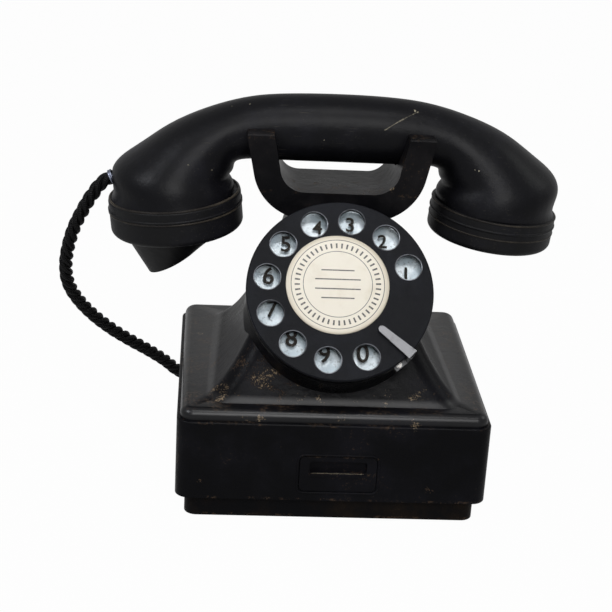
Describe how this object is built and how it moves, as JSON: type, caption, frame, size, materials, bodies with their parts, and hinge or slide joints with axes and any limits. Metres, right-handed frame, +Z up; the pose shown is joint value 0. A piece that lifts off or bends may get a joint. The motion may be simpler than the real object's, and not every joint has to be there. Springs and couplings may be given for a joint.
{
  "type": "rotary dial desk telephone",
  "caption": "Black desk telephone with a sloping rotary dial, a forked cradle for its handset, a card drawer in the base and a roped cord.",
  "frame": {"origin": "on the table under the centre of the telephone's footprint, measured without the cord", "axes": "+X to the receiver end of the handset, on the right of someone facing the dial; +Y from the dial to the back; +Z up"},
  "size_m": [0.2537, 0.254, 0.193],
  "materials": {
    "black_enamel": "worn gloss black enamel on sheet steel, rubbed brown along the edges",
    "cradle_black": "worn black enamel, rubbed to brown metal where the handset rests",
    "dial_black": "satin black enamel",
    "base_black": "satin black paint on steel plate",
    "handset_black": "polished black phenolic moulding with fine scratches",
    "plate_enamel": "pale vitreous enamel with dark worn figures",
    "label_card": "cream card under the label's ring",
    "index_card": "cream card",
    "steel": "plain drawn steel",
    "dark_steel": "dull zinc plated sheet",
    "iron": "soft annealed iron, lacquered",
    "brass": "machined brass, slightly tarnished",
    "gong_brass": "spun bell metal",
    "bakelite_brown": "brown phenolic insulator",
    "coil_green": "green cotton covered winding",
    "capacitor_tin": "tinned can",
    "capsule_alloy": "spun aluminium capsule",
    "foot_rubber": "black rubber",
    "bush_rubber": "black rubber bush",
    "ferrule_tape": "dull grip collar",
    "rope_cotton": "black cotton braid over stranded wires"
  },
  "bodies": {
    "telephone": {"base_plate": "base_black", "rubber_feet": "foot_rubber", "base_screws": "steel", "housing": "black_enamel", "drawer_guide": "dark_steel", "stem_bush": "brass", "cradle_spring": "steel", "hook_bracket": "dark_steel", "bracket_screws": "steel", "hook_blades": "brass", "hook_blocks": "bakelite_brown", "finger_stop": "steel", "dial_case": "dial_black", "number_plate": "plate_enamel", "dial_frame": "brass", "dial_screws": "steel", "dial_bridge": "brass", "bridge_pillars": "brass", "dial_spring": "dark_steel", "pulse_blades": "brass", "blade_blocks": "bakelite_brown", "governor_cup": "brass", "left_gong": "gong_brass", "right_gong": "gong_brass", "gong_posts": "steel", "gong_screws": "steel", "ringer_frame": "dark_steel", "ringer_coils": "coil_green", "coil_cores": "iron", "armature_pin": "steel", "capacitor": "capacitor_tin", "induction_coil": "coil_green", "terminal_block": "bakelite_brown", "terminal_screws": "brass", "cord_gland": "bush_rubber", "line_inlet": "bush_rubber", "handset_rope": "rope_cotton", "rope_coil": "rope_cotton"},
    "drawer": {"card_drawer": "black_enamel", "drawer_card": "index_card"},
    "handset": {"handset_shell": "handset_black", "ear_cap": "handset_black", "mouth_cap": "handset_black", "receiver_capsule": "capsule_alloy", "transmitter_capsule": "capsule_alloy", "cord_ferrule": "ferrule_tape"},
    "cradle": {"cradle_fork": "cradle_black", "cradle_stem": "steel"},
    "dial_wheel": {"finger_wheel": "dial_black", "dial_label": "label_card", "wheel_screw": "steel", "main_shaft": "steel", "main_gear": "brass"},
    "pulse_drive": {"pulse_shaft": "steel", "pulse_gear": "brass", "pulse_cam": "bakelite_brown"},
    "governor": {"governor_shaft": "steel", "governor_weights": "brass"},
    "armature": {"ringer_armature": "iron", "clapper": "brass"}
  },
  "joints": [
    {"name": "drawer_slide", "type": "slide", "parent": "telephone", "child": "drawer", "axis": [0, -1, 0], "range_m": [0, 0.04]},
    {"name": "handset_lift", "type": "slide", "parent": "telephone", "child": "handset", "axis": [0, 0, 1], "range_m": [0, 0.035]},
    {"name": "cradle_travel", "type": "slide", "parent": "telephone", "child": "cradle", "axis": [0, 0, 1], "range_m": [0, 0.004], "deforming": ["cradle_spring"]},
    {"name": "dial_turn", "type": "hinge", "parent": "telephone", "child": "dial_wheel", "pos_m": [0, -0.0452, 0.1137], "axis": [0, -0.7627, 0.6468], "range_deg": [-321, 0], "stiffness_Nm_per_rad": 0.008, "springref_deg": 171.89},
    {"name": "pulse_turn", "type": "hinge", "parent": "telephone", "child": "pulse_drive", "pos_m": [-0.02105, -0.0452, 0.1137], "axis": [0, -0.7627, 0.6468], "range_deg": [0, 1926]},
    {"name": "governor_turn", "type": "hinge", "parent": "telephone", "child": "governor", "pos_m": [-0.02358, -0.0544, 0.10285], "axis": [0, -0.7627, 0.6468], "range_deg": [-9630, 0]},
    {"name": "clapper_swing", "type": "hinge", "parent": "telephone", "child": "armature", "pos_m": [0, 0.006, 0.045], "axis": [0, 0, 1], "range_deg": [-2.8, 2.8]}
  ],
  "couplings": [
    {"joint": "cradle_travel", "follows": "handset_lift", "ratio": 0.11429},
    {"joint": "pulse_turn", "follows": "dial_turn", "ratio": -6},
    {"joint": "governor_turn", "follows": "dial_turn", "ratio": 30}
  ]
}
